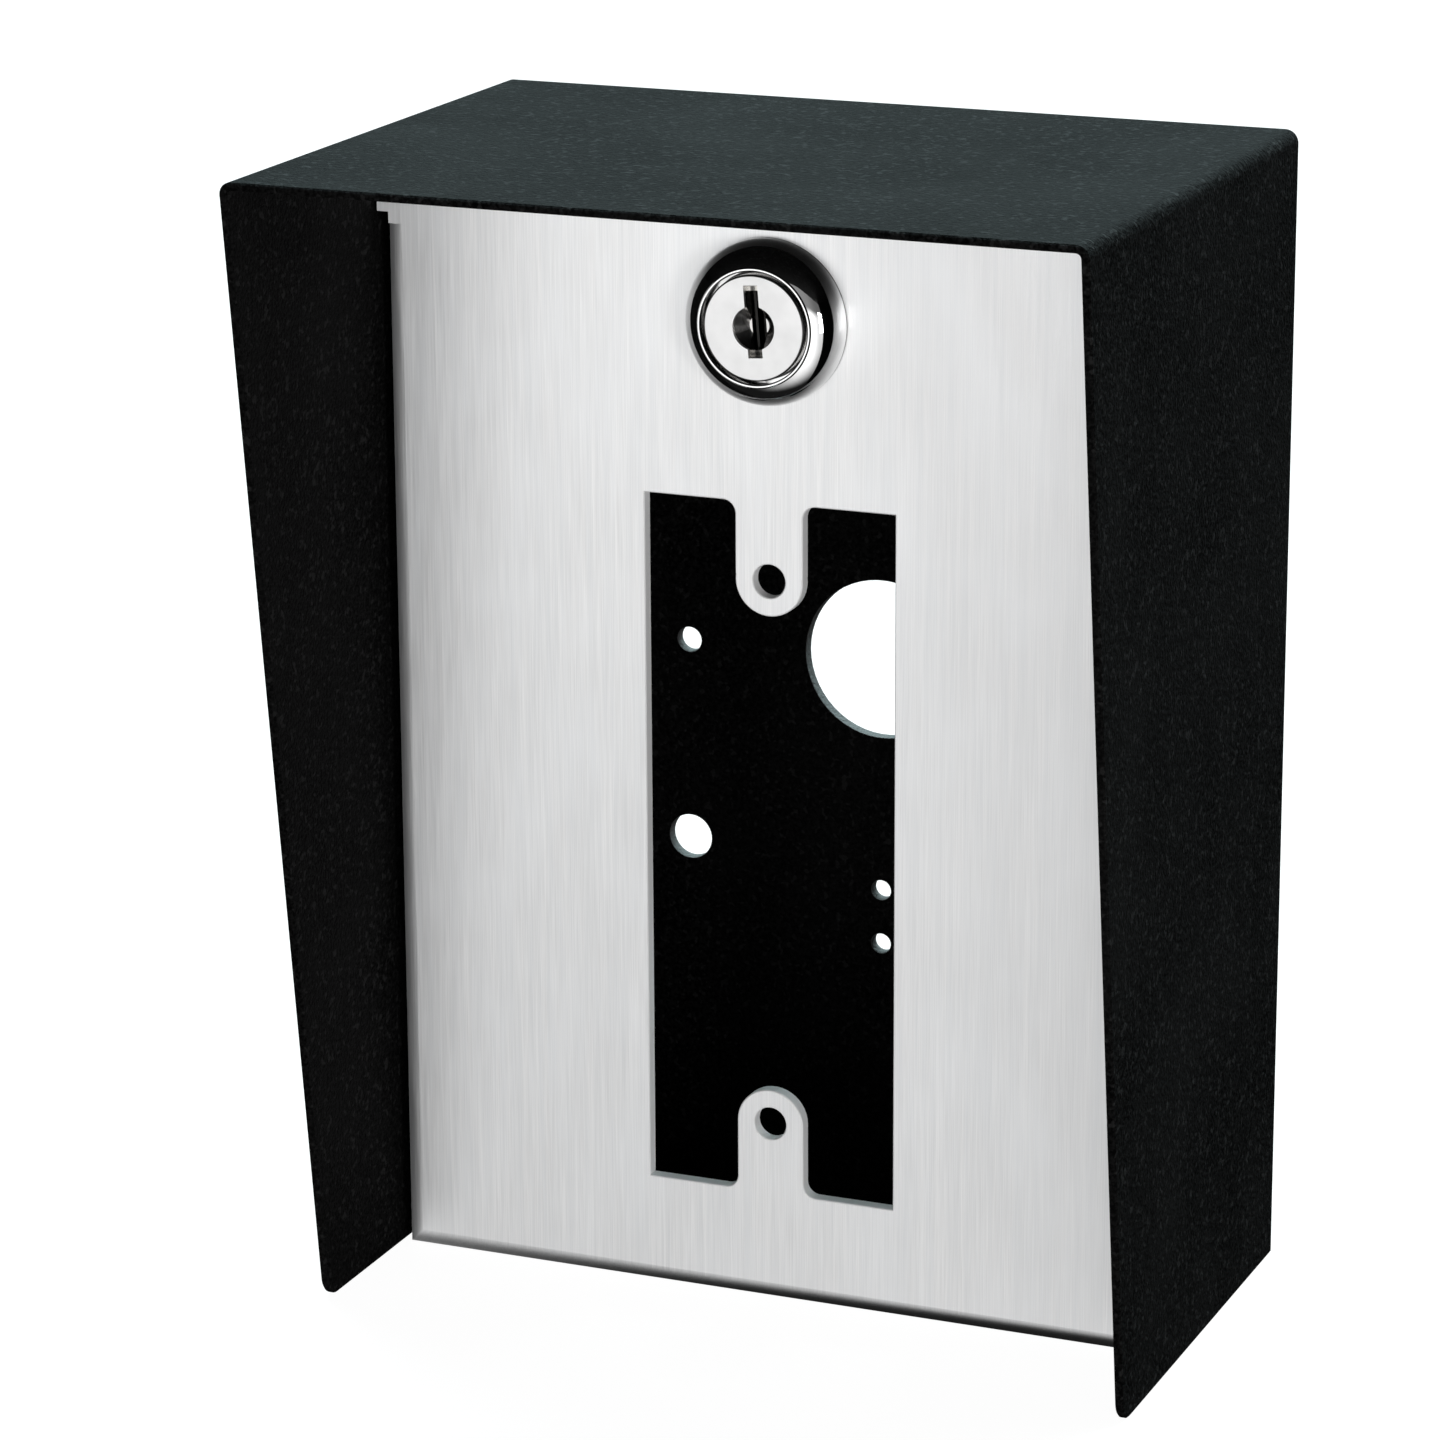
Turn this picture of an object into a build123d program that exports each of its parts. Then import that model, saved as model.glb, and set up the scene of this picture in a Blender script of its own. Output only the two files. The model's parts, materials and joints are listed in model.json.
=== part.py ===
from build123d import *

import os
from math import cos, radians, sin

# A lockable steel housing with a rain hood, for a narrow door reader or intercom module.
# Millimetres. +X is right as seen from the front, -Y is the front, +Z is up.
# The origin is the centre of the cable hole on the rear face of the back.

# ---------------------------------------------------------------- driving dimensions
width = 127.0
height = 174.0
depth_top = 93.5
depth_bottom = 71.0
cable_hole_height = 88.5
plate_depth = 47.8

hood_sheet = 1.2
back_sheet = 2.0
plate_sheet = 2.0
bracket_sheet = 1.5

lock_height = 150.3
lock_lean = -4.5
fit_gap = 0.3
running_gap = 0.06

# ---------------------------------------------------------------- places worked out from them
bottom = -cable_hole_height
top = height - cable_hole_height
half = width / 2
inner_half = half - hood_sheet
ceiling = top - hood_sheet


def bent_sheet(points, outer_bend, thickness):
    """Section of a bent sheet: the points follow its outer face, and the sheet lies to their right."""
    with BuildSketch() as section:
        with BuildLine():
            FilletPolyline(*points, radius=outer_bend)
            offset(amount=thickness, side=Side.RIGHT)
        make_face()
    return section.sketch


# ---------------------------------------------------------------- hood: top and two tapered cheeks
hood_bend = 2.0
cheek_corner = 3.5
back_corner = 1.5
edge_break = 0.25

with BuildPart() as hood_shell:
    with BuildSketch(Plane.XZ):
        add(bent_sheet([(-half, bottom), (-half, top), (half, top), (half, bottom)], hood_bend, hood_sheet))
    extrude(amount=depth_top)
    with BuildSketch(Plane.YZ.offset(-half)) as side_outline:
        with BuildLine():
            Polyline((0, bottom), (0, top), (-depth_top, top), (-depth_bottom, bottom), close=True)
        make_face()
        low_front, low_back = side_outline.vertices().group_by(Axis.Y)[0].sort_by(Axis.X)
        fillet(low_front, radius=cheek_corner)
        fillet(low_back, radius=back_corner)
    extrude(amount=width, mode=Mode.INTERSECT)
    front_edge = hood_shell.faces().filter_by(lambda face: face.normal_at().Y < -0.9)
    chamfer(front_edge.edges(), length=edge_break)
hood_shell.part.label = "hood_shell"

# ---------------------------------------------------------------- back: folded pan with the floor
back_bend = 2.6
pan_flange = 14.0
pan_relief = 4.0
pan_side_gap = 0.8
floor_depth = 35.0
cable_hole_radius = 12.5
bolt_spacing = 64.0
bolt_hole_radius = 3.55
side_hole_radius = 2.0
tie_hole_radius = 1.6
tie_spacing = 8.7
tie_drop = 41.45
drain_radius = 2.0
drain_spacing = 36.0
drain_depth = 26.0

with BuildPart() as back_pan:
    with BuildSketch(Plane.XY.offset(bottom + pan_relief)):
        channel = [(-inner_half, -pan_flange), (-inner_half, 0), (inner_half, 0), (inner_half, -pan_flange)]
        add(bent_sheet(channel, back_bend, back_sheet))
    extrude(amount=ceiling - bottom - 2 * pan_relief)
    with BuildSketch(Plane.YZ.offset(pan_side_gap - inner_half)):
        channel = [(-pan_flange, ceiling), (0, ceiling), (0, bottom), (-floor_depth, bottom)]
        add(bent_sheet(channel, back_bend, back_sheet))
    extrude(amount=2 * (inner_half - pan_side_gap))
    with BuildSketch(Plane.XZ):
        Circle(cable_hole_radius)
        with GridLocations(bolt_spacing, bolt_spacing, 2, 2):
            Circle(bolt_hole_radius)
        with GridLocations(bolt_spacing, 0, 2, 1):
            Circle(side_hole_radius)
        with Locations((0, -tie_drop)):
            with GridLocations(0, tie_spacing, 1, 2):
                Circle(tie_hole_radius)
    extrude(amount=back_sheet, mode=Mode.SUBTRACT)
    with BuildSketch(Plane.XY.offset(bottom)):
        with Locations((0, -drain_depth)):
            with GridLocations(drain_spacing, 0, 3, 1):
                Circle(drain_radius)
    extrude(amount=back_sheet, mode=Mode.SUBTRACT)
back_pan.part.label = "back_pan"

# ---------------------------------------------------------------- earth stud, washer and nut
stud_x = 45.0
stud_z = -58.0
stud_radius = 2.0
stud_length = 14.0
stud_chamfer = 0.4
stud_washer = 0.8
stud_nut = 3.2
stud_nut_flats = 7.0
stud_washer_radius = 4.5

with BuildPart() as earth_stud:
    with BuildSketch(Plane.XZ.offset(back_sheet)):
        with Locations((stud_x, stud_z)):
            Circle(stud_radius)
    extrude(amount=stud_length)
    chamfer(earth_stud.edges().group_by(Axis.Y)[0], length=stud_chamfer)
earth_stud.part.label = "earth_stud"

with BuildPart() as earth_washer:
    with BuildSketch(Plane.XZ.offset(back_sheet)):
        with Locations((stud_x, stud_z)):
            Circle(stud_washer_radius)
            Circle(stud_radius, mode=Mode.SUBTRACT)
    extrude(amount=stud_washer)
earth_washer.part.label = "earth_washer"

with BuildPart() as earth_nut:
    with BuildSketch(Plane.XZ.offset(back_sheet + stud_washer)):
        with Locations((stud_x, stud_z)):
            RegularPolygon(stud_nut_flats / 2, 6, major_radius=False)
            Circle(stud_radius, mode=Mode.SUBTRACT)
    extrude(amount=stud_nut)
earth_nut.part.label = "earth_nut"

# ---------------------------------------------------------------- faceplate: folded stainless tray
plate_half = 60.8
plate_bottom = bottom + fit_gap
plate_top = ceiling - 3 * fit_gap
ear_half = 61.7
notch_inner = 59.9
notch_bottom = bottom + 160.3
notch_height = 1.7
plate_bend = 3.0
side_flange = 12.0
bottom_flange = 10.0
window_half = 19.5
window_bottom = bottom + 17.75
window_top = bottom + 123.55
tab_half = 5.25
tab_root = 2.0
deburr = 0.15
reader_screw_spacing = 83.3
reader_screw_centre = bottom + 70.3
reader_hole_radius = 2.5
lock_z = bottom + lock_height
barrel_radius = 9.4
barrel_flat = 8.4
barrel_gap = 0.1
plate_rear = plate_depth - plate_sheet
flange_rear = plate_depth - side_flange
slit = 3.4
flange_corner = 5.0

hinge_depth = plate_depth - 5.0
hinge_z = plate_bottom + 5.0
hinge_radius = 1.5

with BuildPart() as faceplate:
    # Folded tray: outer block with its bends, hollowed from behind.
    with BuildSketch(Plane.XZ.offset(flange_rear)):
        with Locations((0, plate_bottom)):
            Rectangle(2 * plate_half, notch_bottom - plate_bottom, align=(Align.CENTER, Align.MIN))
    extrude(amount=side_flange)
    front = faceplate.faces().sort_by(Axis.Y)[0]
    fillet(front.edges().sort_by(Axis.Z)[:-1], radius=plate_bend)
    with BuildSketch(Plane.XZ.offset(flange_rear)):
        with Locations((0, plate_bottom + plate_sheet)):
            Rectangle(2 * (plate_half - plate_sheet), height, align=(Align.CENTER, Align.MIN))
    extrude(amount=side_flange - plate_sheet, mode=Mode.SUBTRACT)
    # Flat ears above the side flanges, with a bend relief below each.
    with BuildSketch(Plane.XZ.offset(plate_rear)):
        with Locations((0, notch_bottom)):
            Rectangle(2 * notch_inner, notch_height, align=(Align.CENTER, Align.MIN))
        with Locations((0, notch_bottom + notch_height)):
            Rectangle(2 * ear_half, plate_top - notch_bottom - notch_height, align=(Align.CENTER, Align.MIN))
    extrude(amount=plate_sheet)
    # Bottom flange is shorter than the side flanges, and slit free of them.
    with BuildSketch(Plane.XY.offset(plate_bottom)):
        with Locations((0, -flange_rear)):
            Rectangle(2 * (plate_half - plate_sheet), 2 * (side_flange - bottom_flange))
        with Locations((0, -flange_rear)):
            with GridLocations(2 * (plate_half - plate_sheet) - slit, 0, 2, 1):
                Rectangle(slit, 2 * (side_flange - plate_sheet))
    extrude(amount=plate_sheet, mode=Mode.SUBTRACT)
    fillet(
        faceplate.edges().filter_by(Axis.X).group_by(Axis.Z)[0].group_by(Axis.Y)[-1],
        radius=flange_corner,
    )
    # Pivot holes through the side flanges.
    with BuildSketch(Plane.YZ.offset(-plate_half)):
        with Locations((-hinge_depth, hinge_z)):
            Circle(hinge_radius + running_gap)
    extrude(amount=2 * plate_half, mode=Mode.SUBTRACT)
    # Reader window with its two screw tabs.
    with BuildSketch(Plane.XZ.offset(plate_rear)) as window:
        with Locations((0, window_bottom)):
            Rectangle(2 * window_half, window_top - window_bottom, align=(Align.CENTER, Align.MIN))
        with Locations((0, reader_screw_centre)):
            with GridLocations(0, reader_screw_spacing, 1, 2):
                Circle(tab_half, mode=Mode.SUBTRACT)
        with Locations((0, window_bottom), (0, window_top)):
            tab_reach = reader_screw_centre - reader_screw_spacing / 2 - window_bottom
            Rectangle(2 * tab_half, 2 * tab_reach, mode=Mode.SUBTRACT)
        roots = [v for v in window.vertices() if abs(abs(v.X) - tab_half) < 0.01]
        roots = [v for v in roots if min(abs(v.Y - window_bottom), abs(v.Y - window_top)) < 0.01]
        fillet(roots, radius=tab_root)
    extrude(amount=plate_sheet, mode=Mode.SUBTRACT)
    with BuildSketch(Plane.XZ.offset(plate_rear)):
        with Locations((0, reader_screw_centre)):
            with GridLocations(0, reader_screw_spacing, 1, 2):
                Circle(reader_hole_radius)
        with Locations((0, lock_z)):
            Circle(barrel_radius + barrel_gap)
            with GridLocations(4 * barrel_flat + 2 * barrel_gap, 0, 2, 1):
                Rectangle(2 * barrel_flat, 3 * barrel_radius, mode=Mode.SUBTRACT)
    extrude(amount=plate_sheet, mode=Mode.SUBTRACT)
    # Deburred edges around the window and the two screw holes.
    front = faceplate.faces().sort_by(Axis.Y)[0]
    openings = front.inner_wires().edges()
    chamfer(openings.filter_by(lambda edge: edge.center().Z < window_top + deburr), length=deburr)
faceplate.part.label = "faceplate"

# ---------------------------------------------------------------- pivots of the faceplate
spacer_thickness = 0.6
spacer_radius = 2.9
bracket_outer = plate_half - plate_sheet - spacer_thickness - fit_gap
bracket_foot = 11.0
bracket_front = 34.5
bracket_rear = 22.0
arm_radius = 2.6
pin_head_radius = 2.4
pin_head = 0.8
pin_chamfer = 0.25
pin_end = 61.6
floor_top = bottom + back_sheet

with BuildPart() as pivot_brackets:
    for side in (-1, 1):
        leg_face = side * (bracket_outer - bracket_sheet)
        outward = Plane(origin=(leg_face, 0, 0), x_dir=(0, 1, 0), z_dir=(side, 0, 0))
        # The upright leg, with an arm that reaches forward to the pivot.
        with BuildSketch(outward):
            with BuildLine():
                Polyline(
                    (-hinge_depth, side * (hinge_z + arm_radius)),
                    (-bracket_rear - arm_radius, side * (hinge_z + arm_radius)),
                    (-bracket_rear, side * hinge_z),
                    (-bracket_rear, side * floor_top),
                    (-bracket_front, side * floor_top),
                    (-bracket_front, side * (hinge_z - arm_radius)),
                    (-hinge_depth, side * (hinge_z - arm_radius)),
                    close=True,
                )
            make_face()
            with Locations((-hinge_depth, side * hinge_z)):
                Circle(arm_radius)
                Circle(hinge_radius, mode=Mode.SUBTRACT)
        extrude(amount=bracket_sheet)
        with BuildSketch(Plane.XY.offset(floor_top)):
            with Locations((side * (bracket_outer - bracket_foot / 2), -(bracket_front + bracket_rear) / 2)):
                Rectangle(bracket_foot, bracket_front - bracket_rear)
        extrude(amount=bracket_sheet)
pivot_brackets.part.label = "pivot_brackets"

with BuildPart() as pivot_pins:
    for side in (-1, 1):
        head_face = side * (bracket_outer - bracket_sheet - pin_head)
        outward = Plane(origin=(head_face, -hinge_depth, hinge_z), z_dir=(side, 0, 0))
        with BuildSketch(outward):
            Circle(pin_head_radius)
        extrude(amount=pin_head)
        with BuildSketch(outward):
            Circle(hinge_radius)
        extrude(amount=pin_end - abs(head_face))
    tips = pivot_pins.faces().filter_by(Axis.X).sort_by(Axis.X)
    chamfer(tips[0].edges() + tips[-1].edges(), length=pin_chamfer)
pivot_pins.part.label = "pivot_pins"

with BuildPart() as pivot_spacers:
    for side in (-1, 1):
        with BuildSketch(Plane(origin=(side * bracket_outer, -hinge_depth, hinge_z), z_dir=(side, 0, 0))):
            Circle(spacer_radius)
            Circle(hinge_radius, mode=Mode.SUBTRACT)
        extrude(amount=spacer_thickness)
pivot_spacers.part.label = "pivot_spacers"

# ---------------------------------------------------------------- side stops and their foam pads
stop_bend = 2.0
stop_width = 10.0
stop_length = 120.0
stop_leg = 12.0
stop_bottom = bottom + 22.0
pad_thickness = 1.0
pad_width = 6.0
pad_corner = 0.8
stop_face = flange_rear - fit_gap - pad_thickness

stops = {}
pads = {}
for name, side in (("left", -1), ("right", 1)):
    with BuildPart() as stop:
        with BuildSketch(Plane.XY.offset(stop_bottom)):
            corner = (inner_half, -stop_face)
            angle = [(inner_half, stop_leg - stop_face), corner, (inner_half - stop_width, -stop_face)]
            section = bent_sheet(angle, stop_bend, bracket_sheet)
            add(section if side > 0 else mirror(section, about=Plane.YZ, mode=Mode.PRIVATE))
        extrude(amount=stop_length)
    stop.part.label = f"stop_{name}"
    stops[name] = stop.part

    with BuildPart() as pad:
        with BuildSketch(Plane.XZ.offset(stop_face)):
            with Locations((side * (inner_half - stop_width + pad_width / 2), stop_bottom)):
                Rectangle(pad_width, stop_length, align=(Align.CENTER, Align.MIN))
        extrude(amount=pad_thickness)
        fillet(pad.edges().filter_by(Axis.Y), radius=pad_corner)
    pad.part.label = f"stop_pad_{name}"
    pads[name] = pad.part

# ---------------------------------------------------------------- seal behind the faceplate's top edge
seal_width = 104.0
seal_thickness = 2.0
seal_drop = 4.0
seal_corner = 0.6

with BuildPart() as top_seal:
    with BuildSketch(Plane.XY.offset(ceiling - seal_drop)):
        with Locations((0, -plate_rear + fit_gap + seal_thickness / 2)):
            RectangleRounded(seal_width, seal_thickness, seal_corner)
    extrude(amount=seal_drop)
top_seal.part.label = "top_seal"

# ---------------------------------------------------------------- lock
head_radius = 12.1
head_step = 0.7
head_height = 5.6
rim_radius = 8.75
rim_break = 0.2
dome_radius = 11.1
dome_depth = 1.9
recess_radius = 8.15
recess_depth = 2.9
face_radius = 7.7
face_sheet = 0.6
face_round = 0.25
plug_radius = 6.6
slot_gap = 0.05
barrel_end = 30.2
thread_depth = 0.35
thread_pitch = 1.0
thread_turns = 15
groove_half = 4.1
groove_radius = 7.75
key_half = 1.1
key_top = 6.2
key_bottom = -4.3
key_inner_top = 5.6
key_end = 34.0
eye_radius = 3.2
eye_floor_radius = 1.5
eye_depth = 1.7

front_of_head = plate_depth + head_height
lock_side = Plane(origin=(0, 0, lock_z), x_dir=(1, 0, 0), z_dir=(0, 0, 1))
lock_axis = Axis((0, 0, lock_z), (0, 1, 0))


def lock_face(depth, lean=0.0):
    """Plane across the lock at this depth from the back, facing the front, turned by the lean."""
    turn = radians(lean)
    return Plane(origin=(0, -depth, lock_z), x_dir=(cos(turn), 0, -sin(turn)), z_dir=(0, -1, 0))


with BuildPart() as lock_barrel:
    with BuildSketch(lock_side):
        with BuildLine():
            Polyline(
                (plug_radius + running_gap, -barrel_end),
                (plug_radius + running_gap, -front_of_head + recess_depth),
                (recess_radius, -front_of_head + recess_depth),
                (recess_radius, -front_of_head + rim_break),
                (recess_radius + rim_break, -front_of_head),
                (rim_radius - rim_break, -front_of_head),
                (rim_radius, -front_of_head + rim_break),
            )
            ThreePointArc(
                (rim_radius, -front_of_head + rim_break),
                (dome_radius, -front_of_head + dome_depth),
                (head_radius, -plate_depth - head_step),
            )
            Polyline(
                (head_radius, -plate_depth - head_step),
                (head_radius, -plate_depth),
                (barrel_radius, -plate_depth),
                (barrel_radius, -barrel_end),
                (plug_radius + running_gap, -barrel_end),
            )
        make_face()
    revolve(axis=lock_axis)
    # Thread, drawn as rings.
    with BuildSketch(lock_side):
        for turn in range(thread_turns):
            crest = -barrel_end - thread_pitch * turn
            with BuildLine():
                Polyline(
                    (barrel_radius + slot_gap, crest),
                    (barrel_radius - thread_depth, crest - thread_pitch / 2),
                    (barrel_radius + slot_gap, crest - thread_pitch),
                    close=True,
                )
            make_face()
    revolve(axis=lock_axis, mode=Mode.SUBTRACT)
    # Flats on both sides of the barrel, and four wafer grooves in its bore.
    with BuildSketch(lock_face(barrel_end)):
        with GridLocations(4 * barrel_flat, 0, 2, 1):
            Rectangle(2 * barrel_flat, 3 * barrel_radius)
    extrude(amount=plate_depth - barrel_end, mode=Mode.SUBTRACT)
    with BuildSketch(lock_face(barrel_end)):
        with PolarLocations(0, 2, angular_range=180):
            Rectangle(2 * groove_radius, 2 * groove_half)
        Circle(groove_radius, mode=Mode.INTERSECT)
    extrude(amount=front_of_head - recess_depth - barrel_end, mode=Mode.SUBTRACT)
lock_barrel.part.label = "lock_barrel"

nut_flats = 22.0
nut_thickness = 3.0
nut_turned_radius = 11.9
nut_taper = 30
lock_washer_radius = 12.6
lock_washer_thickness = 0.8

with BuildPart() as lock_washer:
    with BuildSketch(lock_face(plate_rear - lock_washer_thickness)):
        Circle(lock_washer_radius)
        Circle(barrel_radius + running_gap, mode=Mode.SUBTRACT)
    extrude(amount=lock_washer_thickness)
lock_washer.part.label = "lock_washer"

with BuildPart() as lock_nut:
    with BuildSketch(lock_face(plate_rear - lock_washer_thickness - nut_thickness)):
        RegularPolygon(nut_flats / 2, 6, major_radius=False)
    extrude(amount=nut_thickness)
    # Corners turned off at the free face.
    with BuildSketch(lock_face(plate_rear - lock_washer_thickness - nut_thickness)):
        Circle(nut_turned_radius)
    extrude(amount=nut_thickness, taper=-nut_taper, mode=Mode.INTERSECT)
    with BuildSketch(lock_face(plate_rear - lock_washer_thickness - nut_thickness)):
        Circle(barrel_radius)
    extrude(amount=nut_thickness, mode=Mode.SUBTRACT)
lock_nut.part.label = "lock_nut"

# ---------------------------------------------------------------- plug: turns in the barrel
head_back = front_of_head - recess_depth + fit_gap
face_back = front_of_head - face_sheet
wafer_count = 5
wafer_pitch = 3.0
first_wafer = 49.4
wafer_sheet = 1.0
wafer_half = 3.0
wafer_radius = 6.5
wafer_top = 6.2
wafer_bottom = -6.3
wafer_travel = 0.8
wafer_window_half = 1.25
wafer_window_top = 4.8
wafer_window_bottom = -3.8
lug_reach = 4.7
lug_top = -1.2
lug_height = 1.2
spring_x = 3.85
spring_pocket = 0.75
spring_top = 2.4
spring_coil = 0.5
spring_wire = 0.14
spring_pitch = 0.62
cam_gap = 0.3
square = 7.0
cam_sheet = 2.4
cam_hub = 9.0
cam_tip = 6.0
cam_reach = 20.0
cam_round = 0.4
tail_radius = 2.5
tail_washer = 0.8
tail_washer_radius = 6.0
tail_nut = 3.2
tail_nut_flats = 8.0
tail_end = 1.2

wafer_depths = [first_wafer - wafer_pitch * count for count in range(wafer_count)]
cam_front = barrel_end - cam_gap
washer_front = cam_front - cam_sheet
tail_nut_front = washer_front - tail_washer

with BuildPart() as plug_cap:
    with BuildSketch(lock_face(face_back, lock_lean)):
        Circle(face_radius)
        Circle(eye_radius, mode=Mode.SUBTRACT)
        with Locations((0, (key_top + key_bottom) / 2)):
            Rectangle(2 * key_half, key_top - key_bottom, mode=Mode.SUBTRACT)
    extrude(amount=face_sheet)
    front_rings = plug_cap.edges().filter_by(GeomType.CIRCLE).group_by(Axis.Y)[0]
    fillet(front_rings.sort_by(SortBy.RADIUS)[-1], radius=face_round)
plug_cap.part.label = "plug_cap"

with BuildPart() as plug:
    with BuildSketch(lock_face(head_back, lock_lean)):
        Circle(face_radius)
    extrude(amount=face_back - head_back)
    with BuildSketch(lock_face(barrel_end, lock_lean)):
        Circle(plug_radius)
    extrude(amount=head_back - barrel_end)
    # Dished eye around the keyway, then the keyway itself.
    with BuildSketch(lock_side):
        with BuildLine():
            Polyline(
                (0, -face_back),
                (eye_radius, -face_back),
                (eye_floor_radius, -face_back + eye_depth),
                (0, -face_back + eye_depth),
                close=True,
            )
        make_face()
    revolve(axis=lock_axis, mode=Mode.SUBTRACT)
    with BuildSketch(lock_face(head_back, lock_lean)):
        with Locations((0, (key_top + key_bottom) / 2)):
            Rectangle(2 * key_half, key_top - key_bottom)
    extrude(amount=face_back - head_back, mode=Mode.SUBTRACT)
    with BuildSketch(lock_face(key_end, lock_lean)):
        with Locations((0, (key_inner_top + key_bottom) / 2)):
            Rectangle(2 * key_half, key_inner_top - key_bottom)
    extrude(amount=head_back - key_end, mode=Mode.SUBTRACT)
    # A slot for each wafer, with its lug and spring beside it.
    for depth in wafer_depths:
        with BuildSketch(lock_face(depth - wafer_sheet / 2 - slot_gap, lock_lean)):
            Rectangle(2 * (wafer_half + slot_gap), 3 * plug_radius)
            with Locations((0, lug_top + slot_gap)):
                lug_slot = lug_height + wafer_travel + 3 * slot_gap
                Rectangle(lug_reach + slot_gap, lug_slot, align=(Align.MIN, Align.MAX))
        extrude(amount=wafer_sheet + 2 * slot_gap, mode=Mode.SUBTRACT)
        across = lock_face(depth, lock_lean)
        pocket = Plane(origin=across.from_local_coords((spring_x, lug_top)), z_dir=across.y_dir)
        with BuildSketch(pocket):
            Circle(spring_pocket)
        extrude(amount=spring_top - lug_top, mode=Mode.SUBTRACT)
    # Square and threaded tail.
    with BuildSketch(lock_face(washer_front + slot_gap, lock_lean)):
        Rectangle(square, square)
    extrude(amount=barrel_end - washer_front - slot_gap)
    with BuildSketch(lock_face(tail_nut_front - tail_nut - tail_end, lock_lean)):
        Circle(tail_radius)
    extrude(amount=washer_front - tail_nut_front + tail_nut + tail_end + slot_gap)
plug.part.label = "plug"

with BuildPart() as wafers:
    for depth in wafer_depths:
        with BuildSketch(lock_face(depth - wafer_sheet / 2, lock_lean)):
            with Locations((0, wafer_bottom)):
                Rectangle(2 * wafer_half, wafer_top - wafer_bottom, align=(Align.CENTER, Align.MIN))
            Circle(wafer_radius, mode=Mode.INTERSECT)
            with Locations((0, lug_top)):
                Rectangle(lug_reach, lug_height, align=(Align.MIN, Align.MAX))
            with Locations((0, (wafer_window_top + wafer_window_bottom) / 2)):
                Rectangle(2 * wafer_window_half, wafer_window_top - wafer_window_bottom, mode=Mode.SUBTRACT)
        extrude(amount=wafer_sheet)
wafers.part.label = "wafers"

with BuildPart() as wafer_springs:
    for depth in wafer_depths:
        across = lock_face(depth, lock_lean)
        seat = across.from_local_coords((spring_x, lug_top + spring_wire + slot_gap))
        rise = spring_top - lug_top - 2 * (spring_wire + slot_gap)
        with BuildLine() as coil:
            Helix(pitch=spring_pitch, height=rise, radius=spring_coil, center=seat, direction=across.y_dir)
        with BuildSketch(Plane(origin=coil.line @ 0, z_dir=coil.line % 0)):
            Circle(spring_wire)
        sweep(path=coil.line)
wafer_springs.part.label = "wafer_springs"

with BuildPart() as lock_cam:
    with BuildSketch(lock_face(washer_front, lock_lean)):
        with BuildSketch(mode=Mode.PRIVATE) as ends:
            Circle(cam_hub)
            with Locations((cam_tip - cam_reach, 0)):
                Circle(cam_tip)
        add(make_hull(ends.sketch.edges(), mode=Mode.PRIVATE))
        Rectangle(square, square, mode=Mode.SUBTRACT)
    extrude(amount=cam_sheet)
    fillet(lock_cam.faces().sort_by(Axis.Y)[0].outer_wire().edges(), radius=cam_round)
lock_cam.part.label = "lock_cam"

with BuildPart() as cam_washer:
    with BuildSketch(lock_face(tail_nut_front, lock_lean)):
        Circle(tail_washer_radius)
        Circle(tail_radius, mode=Mode.SUBTRACT)
    extrude(amount=tail_washer)
cam_washer.part.label = "cam_washer"

with BuildPart() as cam_nut:
    with BuildSketch(lock_face(tail_nut_front - tail_nut, lock_lean)):
        RegularPolygon(tail_nut_flats / 2, 6, major_radius=False)
        Circle(tail_radius, mode=Mode.SUBTRACT)
    extrude(amount=tail_nut)
cam_nut.part.label = "cam_nut"

# ---------------------------------------------------------------- strike that the cam turns behind
strike_half = 12.0
strike_bend = 2.2
strike_gap = 0.5
strike_leg = 12.0
strike_rise = 10.8

with BuildPart() as lock_strike:
    rear_face = -cam_front - strike_gap
    with BuildSketch(Plane.YZ.offset(-strike_half)):
        angle = [(rear_face - strike_leg, ceiling), (rear_face, ceiling), (rear_face, lock_z + strike_rise)]
        add(bent_sheet(angle, strike_bend, bracket_sheet))
    extrude(amount=2 * strike_half)
lock_strike.part.label = "lock_strike"

os.makedirs("parts", exist_ok=True)
housing = [hood_shell, back_pan, earth_stud, earth_washer, earth_nut, top_seal, lock_strike]
hinge = [pivot_brackets, pivot_pins, pivot_spacers]
front_plate = [faceplate, lock_barrel, lock_washer, lock_nut]
turning = [plug_cap, plug, wafers, wafer_springs, lock_cam, cam_washer, cam_nut]
pieces = [builder.part for builder in housing + hinge + front_plate + turning]
pieces += list(stops.values()) + list(pads.values())
for piece in pieces:
    export_step(piece, f"parts/{piece.label}.step")
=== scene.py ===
import json
from math import cos, radians, sin

import bpy
from mathutils import Matrix, Vector


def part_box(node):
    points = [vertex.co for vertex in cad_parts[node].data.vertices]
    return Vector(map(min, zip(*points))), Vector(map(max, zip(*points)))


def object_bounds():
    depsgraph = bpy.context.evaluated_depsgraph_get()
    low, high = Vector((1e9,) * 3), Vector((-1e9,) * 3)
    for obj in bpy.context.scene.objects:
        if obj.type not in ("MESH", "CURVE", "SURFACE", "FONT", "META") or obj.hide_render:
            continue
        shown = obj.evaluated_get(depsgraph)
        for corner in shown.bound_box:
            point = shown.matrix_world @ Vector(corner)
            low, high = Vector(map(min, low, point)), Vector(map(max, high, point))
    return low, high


# Looks of the hooded reader housing: black powder coat, brushed stainless faceplate, chrome cam lock.
# Metres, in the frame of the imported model.

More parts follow.
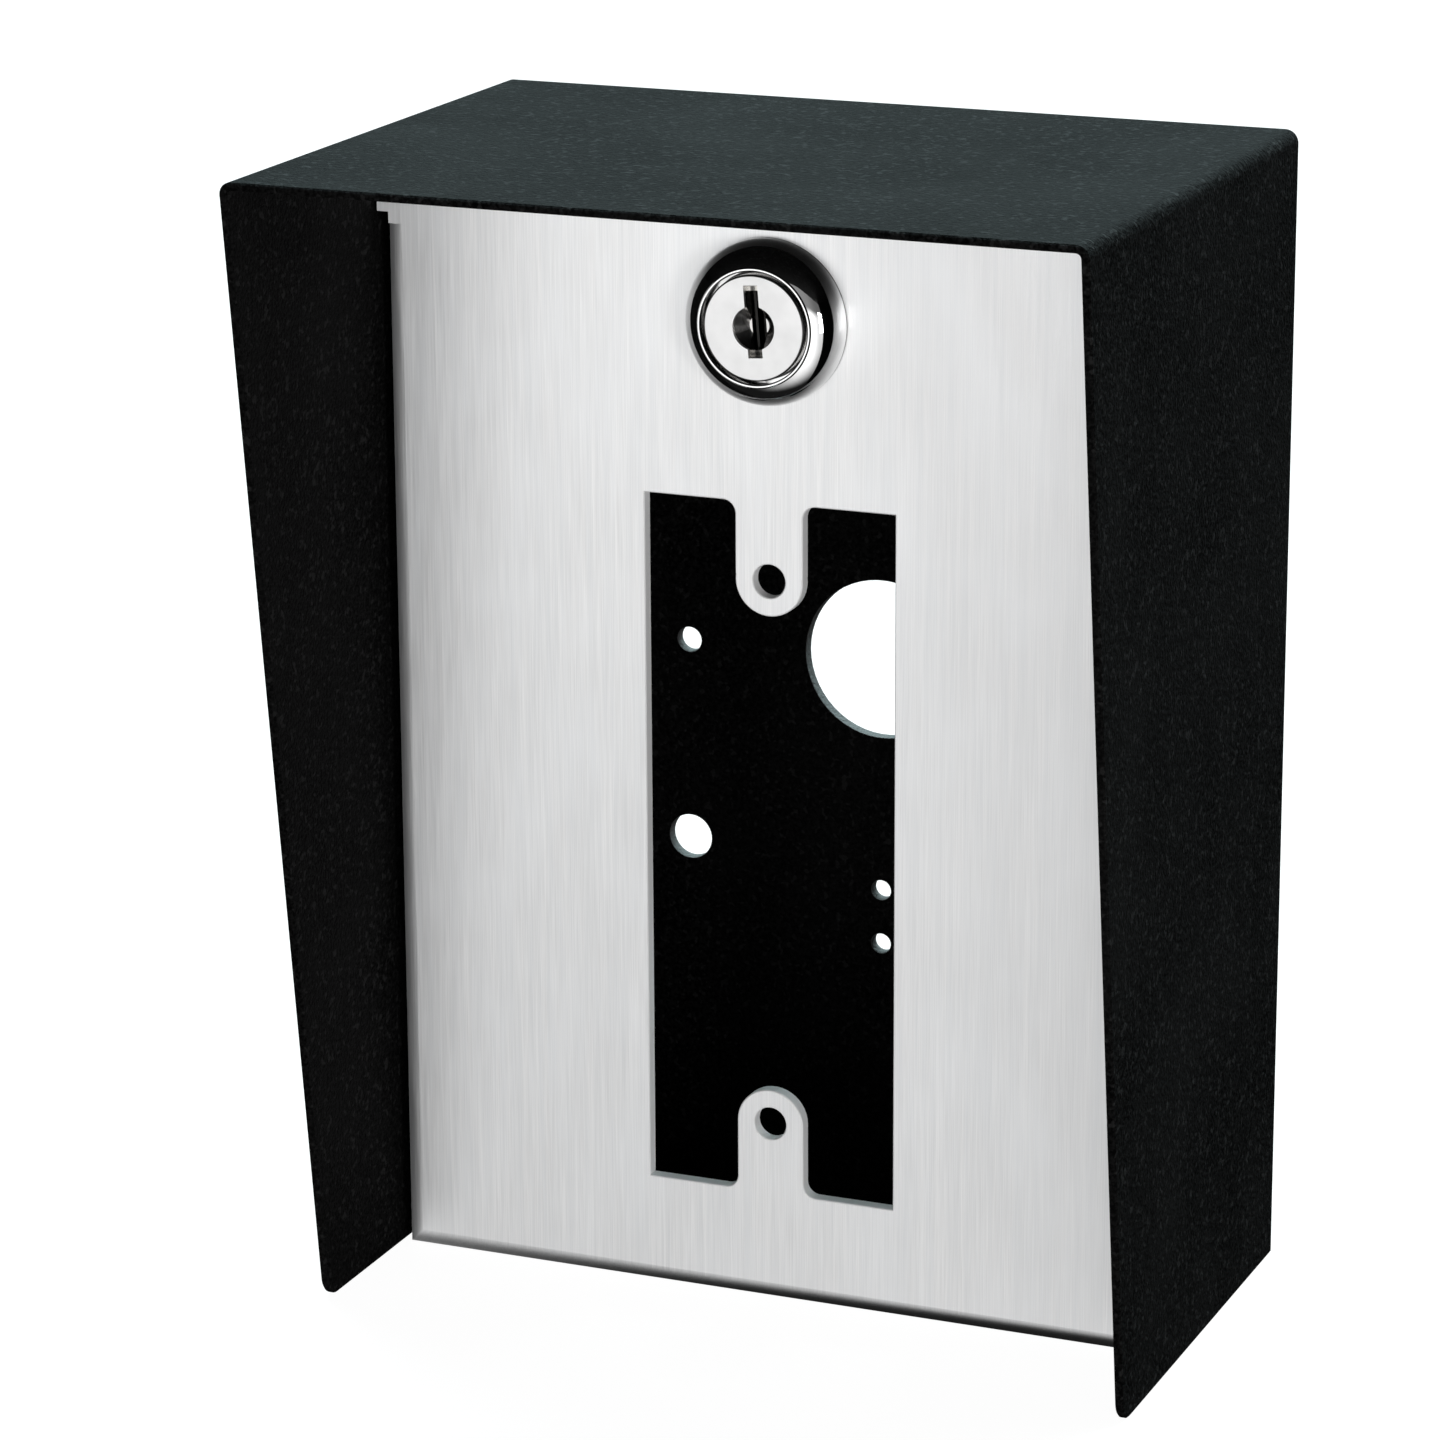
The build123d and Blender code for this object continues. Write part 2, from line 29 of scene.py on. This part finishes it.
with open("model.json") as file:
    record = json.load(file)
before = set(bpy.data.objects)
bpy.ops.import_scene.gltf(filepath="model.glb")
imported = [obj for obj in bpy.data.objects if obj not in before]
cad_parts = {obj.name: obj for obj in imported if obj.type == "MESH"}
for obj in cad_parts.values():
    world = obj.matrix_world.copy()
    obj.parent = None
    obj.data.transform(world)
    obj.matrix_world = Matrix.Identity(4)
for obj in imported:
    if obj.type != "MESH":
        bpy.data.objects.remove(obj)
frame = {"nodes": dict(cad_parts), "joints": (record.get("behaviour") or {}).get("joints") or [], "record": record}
cad_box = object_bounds()
mounts = {mount["name"]: mount for mount in frame["record"]["mounts"]}
joints = {joint["name"]: joint for joint in frame["joints"]}

# Places on the object that materials need: the lock's axis, the front of its head, its cap's radius,
# the front of the faceplate and half the width of the faceplate's window.
lock_z = joints["lock_turn"]["pos_m"][2]
head_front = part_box("lock_barrel")[0][1]
cap_radius = (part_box("plug_cap")[1][0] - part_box("plug_cap")[0][0]) / 2
plate_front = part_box("faceplate")[0][1]
window_half = 0.0195

# ---------------------------------------------------------------- camera
# The photograph's viewing angle, from the right and above, through a long lens.
eye = Vector((0.2851, -0.7462, 0.2204))
yaw = radians(22.75)
pitch = radians(16.1)
roll = radians(-0.29)
sensor = 36.0
lens = 134.9
near = 0.01

forward = Vector((-sin(yaw) * cos(pitch), cos(yaw) * cos(pitch), -sin(pitch)))
level = Vector((cos(yaw), sin(yaw), 0))
rise = level.cross(forward)
right = cos(roll) * level + sin(roll) * rise
up = cos(roll) * rise - sin(roll) * level

camera_data = bpy.data.cameras.new("camera")
camera_data.sensor_width = sensor
camera_data.lens = lens
camera_data.clip_start = near
camera = bpy.data.objects.new("camera", camera_data)
bpy.context.scene.collection.objects.link(camera)
camera.matrix_world = Matrix.Translation(eye) @ Matrix((right, up, -forward)).transposed().to_4x4()
bpy.context.scene.camera = camera
bpy.context.scene.view_settings.view_transform = "Standard"


# ---------------------------------------------------------------- node helpers
range_keys = ("From Min", "From Max", "To Min", "To Max")


class Surface:
    """A material with short calls for the nodes that feed its shader."""

    def __init__(self, name, **values):
        self.material = bpy.data.materials.new(name)
        self.material.use_nodes = True
        self.nodes = self.material.node_tree.nodes
        self.links = self.material.node_tree.links
        self.shader = self.nodes["Principled BSDF"]
        self.place = self.nodes.new("ShaderNodeTexCoord").outputs["Object"]
        for key, value in values.items():
            self.shader.inputs[key.replace("_", " ")].default_value = value

    def plug(self, socket, value):
        """Links an output to a socket, or sets the socket to a plain value."""
        if isinstance(value, bpy.types.NodeSocket):
            self.links.new(value, socket)
        else:
            socket.default_value = value

    def noise(self, grain, detail=3.0, roughness=0.55):
        """Noise with this grain in metres along X, Y and Z."""
        scale = self.nodes.new("ShaderNodeMapping")
        scale.inputs["Scale"].default_value = [1 / size for size in grain]
        self.links.new(self.place, scale.inputs["Vector"])
        texture = self.nodes.new("ShaderNodeTexNoise")
        texture.inputs["Scale"].default_value = 1.0
        texture.inputs["Detail"].default_value = detail
        texture.inputs["Roughness"].default_value = roughness
        self.links.new(scale.outputs["Vector"], texture.inputs["Vector"])
        return texture.outputs["Fac"]

    def spread(self, value, low, high, to_low, to_high):
        """Maps low..high of a value to to_low..to_high, and holds it there outside."""
        node = self.nodes.new("ShaderNodeMapRange")
        for key, number in zip(range_keys, (low, high, to_low, to_high)):
            node.inputs[key].default_value = number
        self.plug(node.inputs["Value"], value)
        return node.outputs["Result"]

    def parts(self, vector):
        """X, Y and Z of a vector."""
        node = self.nodes.new("ShaderNodeSeparateXYZ")
        self.links.new(vector, node.inputs[0])
        return node.outputs["X"], node.outputs["Y"], node.outputs["Z"]

    def math(self, operation, first, second=0.0):
        """One step of arithmetic on two values."""
        node = self.nodes.new("ShaderNodeMath")
        node.operation = operation
        self.plug(node.inputs[0], first)
        self.plug(node.inputs[1], second)
        return node.outputs[0]

    def mix(self, share, first, second):
        """Colour between first, at share 0, and second, at share 1."""
        node = self.nodes.new("ShaderNodeMix")
        node.data_type = "RGBA"
        for socket, value in zip((node.inputs[0], node.inputs[6], node.inputs[7]), (share, first, second)):
            self.plug(socket, value)
        return node.outputs[2]

    def bump(self, height, strength, depth):
        """Relief of this depth in metres, from a height between 0 and 1."""
        node = self.nodes.new("ShaderNodeBump")
        node.inputs["Strength"].default_value = strength
        node.inputs["Distance"].default_value = depth
        self.links.new(height, node.inputs["Height"])
        self.links.new(node.outputs["Normal"], self.shader.inputs["Normal"])

    def paint(self, colour, roughness=None):
        """Links a colour, and a roughness if there is one, to the shader."""
        self.links.new(colour, self.shader.inputs["Base Color"])
        if roughness is not None:
            self.links.new(roughness, self.shader.inputs["Roughness"])


def grey(level, tint=(1.0, 1.0, 1.0)):
    """An opaque grey of this lightness, tinted by three factors."""
    return (level * tint[0], level * tint[1], level * tint[2], 1.0)


# ---------------------------------------------------------------- materials
def powder_coat(name, hole_walls=False):
    """Black fine-texture powder coat: tight grain, faint clouds, a few lighter specks."""
    grain_size = 0.0006
    speck_size = 0.0011
    cloud_size = (0.03, 0.03, 0.045)
    relief = 0.0005
    coat = Surface(name, Specular_IOR_Level=0.02)
    grain = coat.noise((grain_size,) * 3, detail=2.0, roughness=0.6)
    clouds = coat.noise(cloud_size, detail=3.0)
    specks = coat.noise((speck_size,) * 3, detail=1.0)
    base = coat.mix(coat.spread(grain, 0.4, 0.62, 0.0, 1.0), grey(0.0005), grey(0.0085))
    base = coat.mix(coat.spread(clouds, 0.4, 0.7, 0.0, 0.35), base, grey(0.012))
    base = coat.mix(coat.spread(specks, 0.6, 0.68, 0.0, 0.4), base, grey(0.035))
    if hole_walls:
        base = coat.mix(inside_holes(coat), base, grey(0.1))
    coat.paint(base, coat.spread(grain, 0.3, 0.7, 0.62, 0.82))
    coat.bump(grain, 1.0, relief)
    return coat.material


def inside_holes(surface):
    """1 on the walls of the holes in the back, where the cut edge is bare, and 0 elsewhere."""
    margin = 0.00008
    across, _, height = surface.parts(surface.place)
    inside = 0.0
    for name in ("cable_hole", "gooseneck_bolts", "side_screws", "tie_holes"):
        mount = mounts[name]
        dims = mount["dims"]
        x, z = mount["pos_m"][0], mount["pos_m"][2]
        reach = dims.get("hole_r_mm", dims.get("r_mm")) / 1000 + margin
        half_across = dims.get("spacing_x_mm", 0) / 2000
        half_up = dims.get("spacing_y_mm", 0) / 2000
        sideways = surface.math("ABSOLUTE", surface.math("SUBTRACT", across, x))
        upwards = surface.math("ABSOLUTE", surface.math("SUBTRACT", height, z))
        sideways = surface.math("POWER", surface.math("SUBTRACT", sideways, half_across), 2.0)
        upwards = surface.math("POWER", surface.math("SUBTRACT", upwards, half_up), 2.0)
        here = surface.math("LESS_THAN", surface.math("ADD", sideways, upwards), reach**2)
        inside = surface.math("MAXIMUM", here, inside)
    return inside


def cut_edges_and_highlight(surface):
    """1 on the cut edges of the reader window, and 0 on the sheet's faces: these get a near-white matt grey,
    partly the edge's rougher cut finish and partly a painted highlight outlining the window.
    """
    turned_away = 0.85
    margin = 0.0004
    highest = lock_z - 0.02
    lowest = cad_box[0][2] + 0.008
    _, facing, _ = surface.parts(surface.nodes.new("ShaderNodeTexCoord").outputs["Normal"])
    across, _, height = surface.parts(surface.place)
    edge = surface.math("LESS_THAN", surface.math("ABSOLUTE", facing), turned_away)
    near_window = surface.math("LESS_THAN", surface.math("ABSOLUTE", across), window_half + margin)
    below = surface.math("LESS_THAN", height, highest)
    above = surface.math("GREATER_THAN", height, lowest)
    edge_by_window = surface.math("MULTIPLY", edge, near_window)
    return surface.math("MULTIPLY", edge_by_window, surface.math("MULTIPLY", above, below))


def brushed_stainless(name):
    """Stainless sheet brushed along Z, with fine lines, broader bands and faint clouds."""
    line_size = (0.00013, 0.00013, 0.012)
    band_size = (0.0009, 0.0009, 0.03)
    cloud_size = (0.012, 0.012, 0.02)
    relief = 0.00001
    cool = (0.98, 1.0, 1.02)
    steel = Surface(name, Anisotropic=0.8)
    fine = steel.noise(line_size, detail=2.0, roughness=0.6)
    bands = steel.noise(band_size, detail=3.0, roughness=0.5)
    clouds = steel.noise(cloud_size, detail=2.0)
    base = steel.mix(steel.spread(fine, 0.3, 0.7, 0.0, 1.0), grey(0.7), grey(0.84))
    base = steel.mix(steel.spread(bands, 0.35, 0.7, 0.0, 0.45), base, grey(0.67, cool))
    base = steel.mix(steel.spread(clouds, 0.4, 0.7, 0.0, 0.25), base, grey(0.88, cool))
    cut = cut_edges_and_highlight(steel)
    # The window's cut edges are painted near-white and non-metallic: partly their matt cut finish, partly a
    # painted highlight.
    steel.paint(steel.mix(cut, base, grey(0.92)), steel.spread(fine, 0.3, 0.7, 0.37, 0.45))
    steel.links.new(steel.math("SUBTRACT", 1.0, cut), steel.shader.inputs["Metallic"])
    tangent = steel.nodes.new("ShaderNodeTangent")
    tangent.direction_type = "RADIAL"
    tangent.axis = "Z"
    steel.links.new(tangent.outputs["Tangent"], steel.shader.inputs["Tangent"])
    steel.bump(fine, 0.12, relief)
    return steel.material


def keyway_painted_shade(surface):
    """1 deep in the keyway and 0 near the lock's face: the mask of painted shade inside the keyway recess."""
    clean_to = head_front + 0.0023
    dark_from = clean_to + 0.0006
    _, depth, _ = surface.parts(surface.place)
    return surface.spread(depth, clean_to, dark_from, 0.0, 1.0)


def lock_gap_painted_shade(surface):
    """1 in the gap around the lock's cap and where its head sits on the plate, and 0 elsewhere: the mask of a
    painted shade line in the gap and a painted contact shadow along the seat.
    """
    gap = 0.0002
    edge = 0.0001
    across, depth, height = surface.parts(surface.place)
    sideways = surface.math("POWER", across, 2.0)
    upwards = surface.math("POWER", surface.math("SUBTRACT", height, lock_z), 2.0)
    radius = surface.math("SQRT", surface.math("ADD", sideways, upwards))
    off_rim = surface.math("ABSOLUTE", surface.math("SUBTRACT", radius, cap_radius))
    at_rim = surface.spread(off_rim, gap, gap + edge, 1.0, 0.0)
    off_seat = surface.math("ABSOLUTE", surface.math("SUBTRACT", depth, plate_front))
    at_seat = surface.spread(off_seat, gap, gap + edge, 1.0, 0.0)
    in_front = surface.math("LESS_THAN", depth, plate_front + edge)
    return surface.math("MULTIPLY", surface.math("MAXIMUM", at_rim, at_seat), in_front)


def metal(name, colour, roughness, grain=0.0004, depth=0.000002, wear=0.04, painted_shade_mask=None):
    """Small metal piece: a fine grain in its colour, roughness and relief, and painted shade (dark grey) where a
    mask says.
    """
    patch = 0.004
    dulling = 0.8
    piece = Surface(name, Metallic=1.0)
    fine = piece.noise((grain,) * 3, detail=3.0)
    broad = piece.noise((patch,) * 3, detail=2.0)
    dull = tuple(channel * dulling for channel in colour[:3]) + (1.0,)
    base = piece.mix(piece.spread(broad, 0.35, 0.7, 0.0, 0.5), colour, dull)
    if painted_shade_mask is not None:
        # Painted shade: dark grey where the mask is 1, in gaps, at seats and in recesses.
        base = piece.mix(painted_shade_mask(piece), base, grey(0.03))
    piece.paint(base, piece.spread(fine, 0.3, 0.7, roughness, roughness + wear))
    piece.bump(fine, 0.2, depth)
    return piece.material


def soft(name, colour, roughness, grain):
    """Rubber foam or nylon: uneven, with small pores or mould texture."""
    paling = 1.3
    piece = Surface(name, Specular_IOR_Level=0.3)
    pores = piece.noise((grain,) * 3, detail=3.0)
    pale = tuple(channel * paling for channel in colour[:3]) + (1.0,)
    piece.paint(piece.mix(piece.spread(pores, 0.3, 0.7, 0.0, 1.0), colour, pale))
    piece.shader.inputs["Roughness"].default_value = roughness
    piece.bump(pores, 0.5, grain / 8)
    return piece.material


coat = powder_coat("black_powder_coat")
coat_with_holes = powder_coat("black_powder_coat_cut", hole_walls=True)
stainless = brushed_stainless("brushed_stainless")
# The chrome, satin cap and plug carry painted shade: dark grey in the gap round the cap, along the head's seat and
# deep in the keyway.
chrome = metal(
    "polished_chrome", grey(0.86), 0.03, grain=0.0015, depth=0.0000005, wear=0.02, painted_shade_mask=lock_gap_painted_shade
)
satin = metal("satin_stainless", grey(0.78), 0.3, grain=0.00025, painted_shade_mask=lock_gap_painted_shade)
nickel = metal("nickel_plug", grey(0.6, (1.02, 1.0, 0.98)), 0.12, painted_shade_mask=keyway_painted_shade)
wafer_metal = metal("wafer_nickel_silver", grey(0.78, (1.02, 1.0, 0.95)), 0.2)
zinc = metal("zinc_plated_steel", grey(0.62, (0.98, 1.0, 1.04)), 0.3)
spring_wire = metal("spring_steel", grey(0.5), 0.2)
brass = metal("brass_nut", (0.72, 0.54, 0.25, 1.0), 0.25)
foam = soft("foam_rubber", grey(0.02), 0.85, 0.0005)
nylon = soft("white_nylon", grey(0.62, (1.0, 0.98, 0.92)), 0.45, 0.0008)

finishes = {
    "hood_shell": coat,
    "back_pan": coat_with_holes,
    "pivot_brackets": coat,
    "stop_left": coat,
    "stop_right": coat,
    "faceplate": stainless,
    "lock_barrel": chrome,
    "lock_washer": zinc,
    "lock_nut": zinc,
    "lock_strike": zinc,
    "plug_cap": satin,
    "plug": nickel,
    "wafers": wafer_metal,
    "wafer_springs": spring_wire,
    "lock_cam": zinc,
    "cam_washer": zinc,
    "cam_nut": zinc,
    "earth_stud": zinc,
    "earth_washer": zinc,
    "earth_nut": brass,
    "pivot_pins": zinc,
    "pivot_spacers": nylon,
    "top_seal": foam,
    "stop_pad_left": foam,
    "stop_pad_right": foam,
}
for name, node in frame["nodes"].items():
    node.data.materials.clear()
    node.data.materials.append(finishes[name])

# ---------------------------------------------------------------- floor
floor_half = 20.0
floor_z = cad_box[0][2]
corners = [(x * floor_half, y * floor_half, floor_z) for x, y in ((-1, -1), (1, -1), (1, 1), (-1, 1))]
floor_mesh = bpy.data.meshes.new("floor")
floor_mesh.from_pydata(corners, [], [(0, 1, 2, 3)])
floor = bpy.data.objects.new("floor", floor_mesh)
bpy.context.scene.collection.objects.link(floor)
paper = Surface("floor", Base_Color=grey(0.1), Roughness=0.9, Specular_IOR_Level=0.0, Emission_Strength=0.97)
paper.shader.inputs["Emission Color"].default_value = grey(1.0)
floor_mesh.materials.append(paper.material)
floor.visible_glossy = False
floor.visible_diffuse = False
floor.visible_shadow = False


# ---------------------------------------------------------------- light
target = Vector((0.0, -0.04, 0.0))


def softbox(name, centre, size, power, tint=(1.0, 1.0, 1.0)):
    """A rectangular area light at centre, facing the middle of the object."""
    light = bpy.data.lights.new(name, "AREA")
    light.shape = "RECTANGLE"
    light.size, light.size_y = size
    light.energy = power
    light.color = tint
    lamp = bpy.data.objects.new(name, light)
    bpy.context.scene.collection.objects.link(lamp)
    lamp.location = centre
    lamp.rotation_euler = (target - Vector(centre)).to_track_quat("-Z", "Y").to_euler()


softbox("overhead", (-0.1, 0.6, 1.1), (1.6, 1.2), 76.0, tint=(0.77, 1.0, 1.03))
softbox("front_left", (-0.7, -1.2, 0.25), (1.0, 1.2), 2.0)
softbox("right_fill", (0.9, -0.8, 0.0), (0.25, 0.4), 4.0)
softbox("right_back", (1.1, 0.35, 0.25), (0.4, 0.6), 2.4)

world = bpy.data.worlds.new("studio")
bpy.context.scene.world = world
world.use_nodes = True
tree = world.node_tree
tree.nodes.clear()


def background(colour, strength):
    """A plain glow of the world."""
    node = tree.nodes.new("ShaderNodeBackground")
    node.inputs["Color"].default_value = colour
    node.inputs["Strength"].default_value = strength
    return node


# What the camera sees is white. What lights the object glows in front and to the right, and is dim above
# and further right, and matt surfaces get less of it than shiny ones.
glow = 1.88
dim = 0.01
matt_share = 0.4
brightest = Vector((0.48, -0.87, 0.12)).normalized()


def step(value, start, end, before, after):
    """Before up to start and after from end on, with a soft step between."""
    node = tree.nodes.new("ShaderNodeMapRange")
    node.interpolation_type = "SMOOTHSTEP"
    for key, number in zip(range_keys, (start, end, before, after)):
        node.inputs[key].default_value = number
    tree.links.new(value, node.inputs["Value"])
    return node.outputs["Result"]


direction = tree.nodes.new("ShaderNodeTexCoord").outputs["Generated"]
towards = tree.nodes.new("ShaderNodeVectorMath")
towards.operation = "DOT_PRODUCT"
towards.inputs[1].default_value = brightest
tree.links.new(direction, towards.inputs[0])
axes = tree.nodes.new("ShaderNodeSeparateXYZ")
tree.links.new(direction, axes.inputs[0])
rays = tree.nodes.new("ShaderNodeLightPath")
matt = tree.nodes.new("ShaderNodeMapRange")
matt.inputs["To Min"].default_value = 1.0
matt.inputs["To Max"].default_value = matt_share
tree.links.new(rays.outputs["Is Diffuse Ray"], matt.inputs["Value"])

share = step(towards.outputs["Value"], 0.15, 1.0, 0.0, 1.0)
higher = step(axes.outputs["Z"], 0.0, 0.12, 1.0, 0.15)
further_right = step(axes.outputs["X"], 0.3, 0.7, 1.0, 0.5)
for factor in (matt.outputs["Result"], higher, further_right):
    product = tree.nodes.new("ShaderNodeMath")
    product.operation = "MULTIPLY"
    tree.links.new(share, product.inputs[0])
    tree.links.new(factor, product.inputs[1])
    share = product.outputs[0]

studio = tree.nodes.new("ShaderNodeMixShader")
tree.links.new(share, studio.inputs[0])
tree.links.new(background(grey(1.0), dim).outputs[0], studio.inputs[1])
tree.links.new(background(grey(1.0), glow).outputs[0], studio.inputs[2])
seen = tree.nodes.new("ShaderNodeMixShader")
tree.links.new(rays.outputs["Is Camera Ray"], seen.inputs[0])
tree.links.new(studio.outputs[0], seen.inputs[1])
tree.links.new(background(grey(1.0), 1.0).outputs[0], seen.inputs[2])
output = tree.nodes.new("ShaderNodeOutputWorld")
tree.links.new(seen.outputs[0], output.inputs["Surface"])
